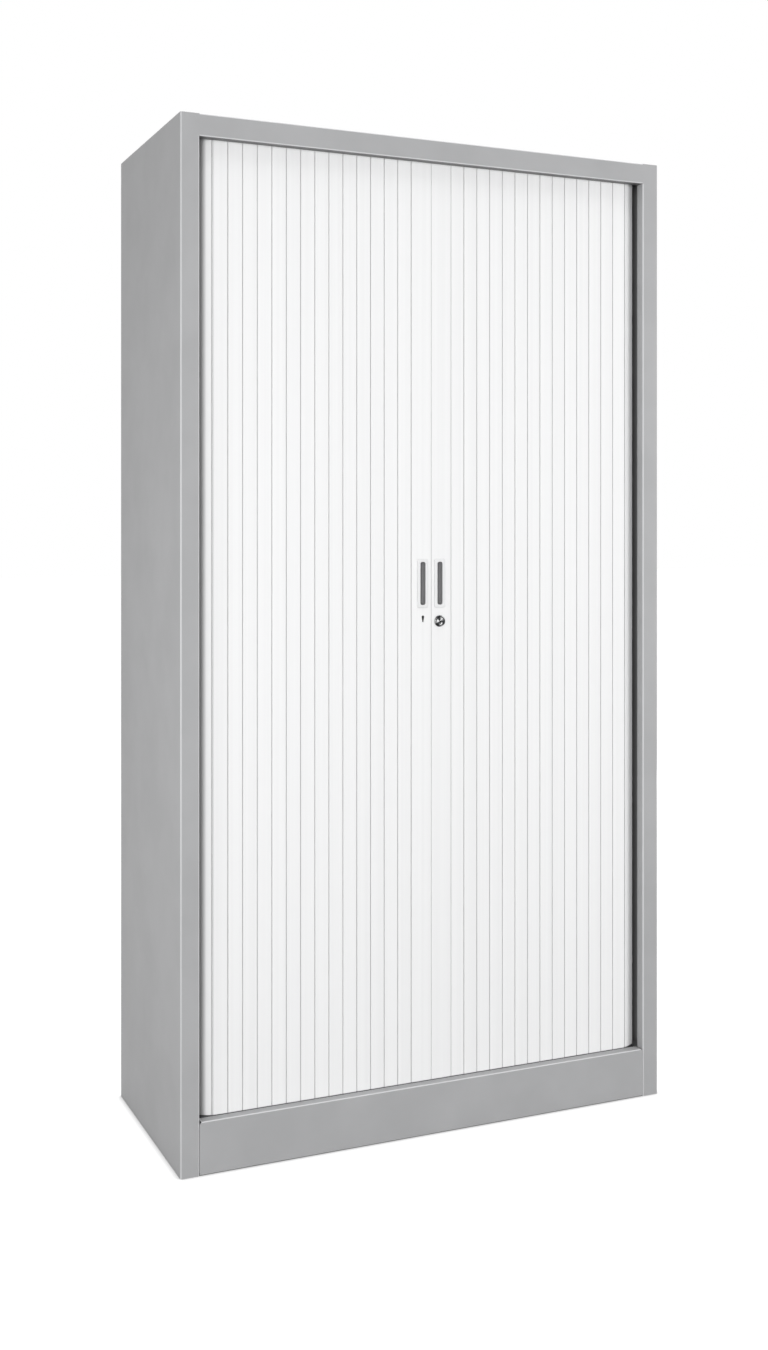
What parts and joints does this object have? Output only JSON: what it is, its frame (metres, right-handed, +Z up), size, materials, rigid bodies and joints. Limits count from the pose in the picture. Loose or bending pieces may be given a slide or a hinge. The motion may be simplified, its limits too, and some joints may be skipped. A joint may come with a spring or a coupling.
{
  "type": "roll front cupboard",
  "caption": "Tall steel storage cupboard whose two side-opening curtains of hinged slats slide round into the sides, with recessed pulls, a cam lock, a plinth and lift-out shelves.",
  "frame": {"origin": "middle of the base's outline, on the floor", "axes": "+X to the right seen from the front, +Y from the front to the back, +Z up"},
  "size_m": [1, 0.43, 1.885],
  "materials": {
    "carcass_paint": "silver-grey satin powder coat",
    "curtain_plastic": "white satin extrusion",
    "pull_plastic": "light grey moulding",
    "track_plastic": "grey low-friction extrusion",
    "lock_chrome": "polished plate",
    "keeper_black": "black moulding",
    "zinc_steel": "zinc plate",
    "foot_plastic": "black moulding",
    "rivet_aluminium": "plain"
  },
  "bodies": {
    "carcass": {"side_panel_left": "carcass_paint", "side_panel_right": "carcass_paint", "top_panel": "carcass_paint", "ceiling_panel": "carcass_paint", "back_panel": "carcass_paint", "base_panel": "carcass_paint", "front_plinth": "carcass_paint", "bottom_tracks": "track_plastic", "top_tracks": "track_plastic", "liner_left": "carcass_paint", "liner_right": "carcass_paint", "shelf_1": "carcass_paint", "shelf_2": "carcass_paint", "shelf_3": "carcass_paint", "shelf_4": "carcass_paint", "shelf_clips": "zinc_steel", "foot_brackets": "zinc_steel", "back_rivets": "rivet_aluminium"},
    "door_left": {"lead_strip_left": "curtain_plastic", "pull_left": "pull_plastic", "lock_keeper": "keeper_black"},
    "door_right": {"lead_strip_right": "curtain_plastic", "pull_right": "pull_plastic", "lock_barrel": "lock_chrome"},
    "lock_core": {"lock_plug": "lock_chrome", "lock_hook": "zinc_steel"},
    "slat_left_01": {"slat_left_01": "curtain_plastic"},
    "slat_left_02": {"slat_left_02": "curtain_plastic"},
    "slat_left_03": {"slat_left_03": "curtain_plastic"},
    "slat_left_04": {"slat_left_04": "curtain_plastic"},
    "slat_left_05": {"slat_left_05": "curtain_plastic"},
    "slat_left_06": {"slat_left_06": "curtain_plastic"},
    "slat_left_07": {"slat_left_07": "curtain_plastic"},
    "slat_left_08": {"slat_left_08": "curtain_plastic"},
    "slat_left_09": {"slat_left_09": "curtain_plastic"},
    "slat_left_10": {"slat_left_10": "curtain_plastic"},
    "slat_left_11": {"slat_left_11": "curtain_plastic"},
    "slat_left_12": {"slat_left_12": "curtain_plastic"},
    "slat_left_13": {"slat_left_13": "curtain_plastic"},
    "slat_left_14": {"slat_left_14": "curtain_plastic"},
    "slat_left_15": {"slat_left_15": "curtain_plastic"},
    "slat_right_01": {"slat_right_01": "curtain_plastic"},
    "slat_right_02": {"slat_right_02": "curtain_plastic"},
    "slat_right_03": {"slat_right_03": "curtain_plastic"},
    "slat_right_04": {"slat_right_04": "curtain_plastic"},
    "slat_right_05": {"slat_right_05": "curtain_plastic"},
    "slat_right_06": {"slat_right_06": "curtain_plastic"},
    "slat_right_07": {"slat_right_07": "curtain_plastic"},
    "slat_right_08": {"slat_right_08": "curtain_plastic"},
    "slat_right_09": {"slat_right_09": "curtain_plastic"},
    "slat_right_10": {"slat_right_10": "curtain_plastic"},
    "slat_right_11": {"slat_right_11": "curtain_plastic"},
    "slat_right_12": {"slat_right_12": "curtain_plastic"},
    "slat_right_13": {"slat_right_13": "curtain_plastic"},
    "slat_right_14": {"slat_right_14": "curtain_plastic"},
    "slat_right_15": {"slat_right_15": "curtain_plastic"},
    "foot_front_left": {"foot_front_left": "foot_plastic"},
    "foot_front_right": {"foot_front_right": "foot_plastic"},
    "foot_rear_left": {"foot_rear_left": "foot_plastic"},
    "foot_rear_right": {"foot_rear_right": "foot_plastic"}
  },
  "joints": [
    {"name": "door_left_slide", "type": "slide", "parent": "carcass", "child": "door_left", "axis": [-1, 0, 0], "range_m": [0, 0.38], "deforming": ["slat_left_01", "slat_left_02", "slat_left_03", "slat_left_04", "slat_left_05", "slat_left_06", "slat_left_07", "slat_left_08", "slat_left_09", "slat_left_10", "slat_left_11", "slat_left_12", "slat_left_13", "slat_left_14"]},
    {"name": "slat_left_01_slide", "type": "slide", "parent": "carcass", "child": "slat_left_01", "axis": [-1, 0.0001, 0], "range_m": [0, 0.38002]},
    {"name": "slat_left_02_slide", "type": "slide", "parent": "carcass", "child": "slat_left_02", "axis": [-1, 0.0001, 0], "range_m": [0, 0.35202]},
    {"name": "slat_left_03_slide", "type": "slide", "parent": "carcass", "child": "slat_left_03", "axis": [-1, 0.0002, 0], "range_m": [0, 0.32402]},
    {"name": "slat_left_04_slide", "type": "slide", "parent": "carcass", "child": "slat_left_04", "axis": [-1, 0.0003, 0], "range_m": [0, 0.29602]},
    {"name": "slat_left_05_slide", "type": "slide", "parent": "carcass", "child": "slat_left_05", "axis": [-1, 0.0004, 0], "range_m": [0, 0.26802]},
    {"name": "slat_left_06_slide", "type": "slide", "parent": "carcass", "child": "slat_left_06", "axis": [-1, 0.0005, 0], "range_m": [0, 0.24002]},
    {"name": "slat_left_07_slide", "type": "slide", "parent": "carcass", "child": "slat_left_07", "axis": [-1, 0.0007, 0], "range_m": [0, 0.21202]},
    {"name": "slat_left_08_slide", "type": "slide", "parent": "carcass", "child": "slat_left_08", "axis": [-1, 0.0009, 0], "range_m": [0, 0.18402]},
    {"name": "slat_left_09_slide", "type": "slide", "parent": "carcass", "child": "slat_left_09", "axis": [-1, 0.0012, 0], "range_m": [0, 0.15602]},
    {"name": "slat_left_10_slide", "type": "slide", "parent": "carcass", "child": "slat_left_10", "axis": [-1, 0.0016, 0], "range_m": [0, 0.12802]},
    {"name": "slat_left_11_slide", "type": "slide", "parent": "carcass", "child": "slat_left_11", "axis": [-1, 0.0022, 0], "range_m": [0, 0.10002]},
    {"name": "slat_left_12_slide", "type": "slide", "parent": "carcass", "child": "slat_left_12", "axis": [-1, 0.0033, 0], "range_m": [0, 0.07202]},
    {"name": "slat_left_13_slide", "type": "slide", "parent": "carcass", "child": "slat_left_13", "axis": [-1, 0.0059, 0], "range_m": [0, 0.04402]},
    {"name": "slat_left_14_slide", "type": "slide", "parent": "carcass", "child": "slat_left_14", "axis": [-0.9998, 0.0175, 0], "range_m": [0, 0.01602]},
    {"name": "slat_left_15_turn", "type": "hinge", "parent": "carcass", "child": "slat_left_15", "pos_m": [-0.429, -0.147, 0.974], "axis": [0, 0, -1], "range_deg": [0, 38.29]},
    {"name": "door_right_slide", "type": "slide", "parent": "carcass", "child": "door_right", "axis": [1, 0, 0], "range_m": [0, 0.38], "deforming": ["slat_right_01", "slat_right_02", "slat_right_03", "slat_right_04", "slat_right_05", "slat_right_06", "slat_right_07", "slat_right_08", "slat_right_09", "slat_right_10", "slat_right_11", "slat_right_12", "slat_right_13", "slat_right_14"]},
    {"name": "slat_right_01_slide", "type": "slide", "parent": "carcass", "child": "slat_right_01", "axis": [1, 0.0001, 0], "range_m": [0, 0.38002]},
    {"name": "slat_right_02_slide", "type": "slide", "parent": "carcass", "child": "slat_right_02", "axis": [1, 0.0001, 0], "range_m": [0, 0.35202]},
    {"name": "slat_right_03_slide", "type": "slide", "parent": "carcass", "child": "slat_right_03", "axis": [1, 0.0002, 0], "range_m": [0, 0.32402]},
    {"name": "slat_right_04_slide", "type": "slide", "parent": "carcass", "child": "slat_right_04", "axis": [1, 0.0003, 0], "range_m": [0, 0.29602]},
    {"name": "slat_right_05_slide", "type": "slide", "parent": "carcass", "child": "slat_right_05", "axis": [1, 0.0004, 0], "range_m": [0, 0.26802]},
    {"name": "slat_right_06_slide", "type": "slide", "parent": "carcass", "child": "slat_right_06", "axis": [1, 0.0005, 0], "range_m": [0, 0.24002]},
    {"name": "slat_right_07_slide", "type": "slide", "parent": "carcass", "child": "slat_right_07", "axis": [1, 0.0007, 0], "range_m": [0, 0.21202]},
    {"name": "slat_right_08_slide", "type": "slide", "parent": "carcass", "child": "slat_right_08", "axis": [1, 0.0009, 0], "range_m": [0, 0.18402]},
    {"name": "slat_right_09_slide", "type": "slide", "parent": "carcass", "child": "slat_right_09", "axis": [1, 0.0012, 0], "range_m": [0, 0.15602]},
    {"name": "slat_right_10_slide", "type": "slide", "parent": "carcass", "child": "slat_right_10", "axis": [1, 0.0016, 0], "range_m": [0, 0.12802]},
    {"name": "slat_right_11_slide", "type": "slide", "parent": "carcass", "child": "slat_right_11", "axis": [1, 0.0022, 0], "range_m": [0, 0.10002]},
    {"name": "slat_right_12_slide", "type": "slide", "parent": "carcass", "child": "slat_right_12", "axis": [1, 0.0033, 0], "range_m": [0, 0.07202]},
    {"name": "slat_right_13_slide", "type": "slide", "parent": "carcass", "child": "slat_right_13", "axis": [1, 0.0059, 0], "range_m": [0, 0.04402]},
    {"name": "slat_right_14_slide", "type": "slide", "parent": "carcass", "child": "slat_right_14", "axis": [0.9998, 0.0175, 0], "range_m": [0, 0.01602]},
    {"name": "slat_right_15_turn", "type": "hinge", "parent": "carcass", "child": "slat_right_15", "pos_m": [0.429, -0.147, 0.974], "axis": [0, 0, 1], "range_deg": [0, 38.29]},
    {"name": "lock_turn", "type": "hinge", "parent": "door_right", "child": "lock_core", "pos_m": [0.0177, -0.189, 0.971], "axis": [0, 1, 0], "range_deg": [0, 90]},
    {"name": "foot_front_left_screw", "type": "slide", "parent": "carcass", "child": "foot_front_left", "axis": [0, 0, -1], "range_m": [0, 0.015]},
    {"name": "foot_front_right_screw", "type": "slide", "parent": "carcass", "child": "foot_front_right", "axis": [0, 0, -1], "range_m": [0, 0.015]},
    {"name": "foot_rear_left_screw", "type": "slide", "parent": "carcass", "child": "foot_rear_left", "axis": [0, 0, -1], "range_m": [0, 0.015]},
    {"name": "foot_rear_right_screw", "type": "slide", "parent": "carcass", "child": "foot_rear_right", "axis": [0, 0, -1], "range_m": [0, 0.015]}
  ],
  "couplings": [
    {"joint": "slat_left_01_slide", "follows": "door_left_slide", "ratio": 1},
    {"joint": "slat_left_02_slide", "follows": "door_left_slide", "ratio": 0.92632},
    {"joint": "slat_left_03_slide", "follows": "door_left_slide", "ratio": 0.85263},
    {"joint": "slat_left_04_slide", "follows": "door_left_slide", "ratio": 0.77895},
    {"joint": "slat_left_05_slide", "follows": "door_left_slide", "ratio": 0.70526},
    {"joint": "slat_left_06_slide", "follows": "door_left_slide", "ratio": 0.63158},
    {"joint": "slat_left_07_slide", "follows": "door_left_slide", "ratio": 0.55789},
    {"joint": "slat_left_08_slide", "follows": "door_left_slide", "ratio": 0.48421},
    {"joint": "slat_left_09_slide", "follows": "door_left_slide", "ratio": 0.41053},
    {"joint": "slat_left_10_slide", "follows": "door_left_slide", "ratio": 0.33684},
    {"joint": "slat_left_11_slide", "follows": "door_left_slide", "ratio": 0.26316},
    {"joint": "slat_left_12_slide", "follows": "door_left_slide", "ratio": 0.18947},
    {"joint": "slat_left_13_slide", "follows": "door_left_slide", "ratio": 0.11579},
    {"joint": "slat_left_14_slide", "follows": "door_left_slide", "ratio": 0.042105},
    {"joint": "slat_left_15_turn", "follows": "door_left_slide", "rad_per_m": 1.7581},
    {"joint": "slat_right_01_slide", "follows": "door_right_slide", "ratio": 1},
    {"joint": "slat_right_02_slide", "follows": "door_right_slide", "ratio": 0.92632},
    {"joint": "slat_right_03_slide", "follows": "door_right_slide", "ratio": 0.85263},
    {"joint": "slat_right_04_slide", "follows": "door_right_slide", "ratio": 0.77895},
    {"joint": "slat_right_05_slide", "follows": "door_right_slide", "ratio": 0.70526},
    {"joint": "slat_right_06_slide", "follows": "door_right_slide", "ratio": 0.63158},
    {"joint": "slat_right_07_slide", "follows": "door_right_slide", "ratio": 0.55789},
    {"joint": "slat_right_08_slide", "follows": "door_right_slide", "ratio": 0.48421},
    {"joint": "slat_right_09_slide", "follows": "door_right_slide", "ratio": 0.41053},
    {"joint": "slat_right_10_slide", "follows": "door_right_slide", "ratio": 0.33684},
    {"joint": "slat_right_11_slide", "follows": "door_right_slide", "ratio": 0.26316},
    {"joint": "slat_right_12_slide", "follows": "door_right_slide", "ratio": 0.18947},
    {"joint": "slat_right_13_slide", "follows": "door_right_slide", "ratio": 0.11579},
    {"joint": "slat_right_14_slide", "follows": "door_right_slide", "ratio": 0.042105},
    {"joint": "slat_right_15_turn", "follows": "door_right_slide", "rad_per_m": 1.7581}
  ]
}
